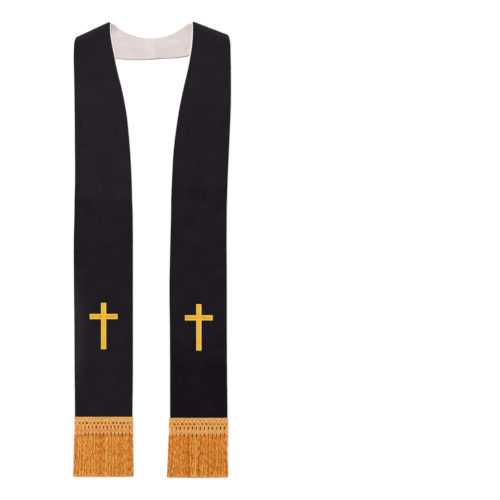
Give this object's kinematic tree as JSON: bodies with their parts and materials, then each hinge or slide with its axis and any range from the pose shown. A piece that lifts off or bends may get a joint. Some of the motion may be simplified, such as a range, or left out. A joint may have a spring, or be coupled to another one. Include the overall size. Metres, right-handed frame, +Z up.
{
  "type": "clerical stole",
  "caption": "Lined clerical stole laid flat: contoured black strips with gold Latin crosses, openwork braid and fringed ends, joined by a white-lined neck piece.",
  "frame": {"origin": "middle of the outline on the surface the stole lies on", "axes": "+Y from the fringed ends towards the neck, +X towards the strip on the right of the view from above, +Z up from the surface"},
  "size_m": [0.377, 1.0946, 0.0074],
  "materials": {
    "face": "matte black twill with a soft sheen",
    "lining": "smooth off-white lining cloth",
    "cross": "gold satin-stitch embroidery",
    "braid": "antique gold rayon braid",
    "fringe": "antique gold rayon fringe"
  },
  "bodies": {
    "root": {"face_left": "face", "face_right": "face", "lining_left": "lining", "lining_right": "lining", "cross_left": "cross", "cross_right": "cross", "braid_left": "braid", "braid_right": "braid", "fringe_left": "fringe", "fringe_right": "fringe"}
  },
  "joints": []
}
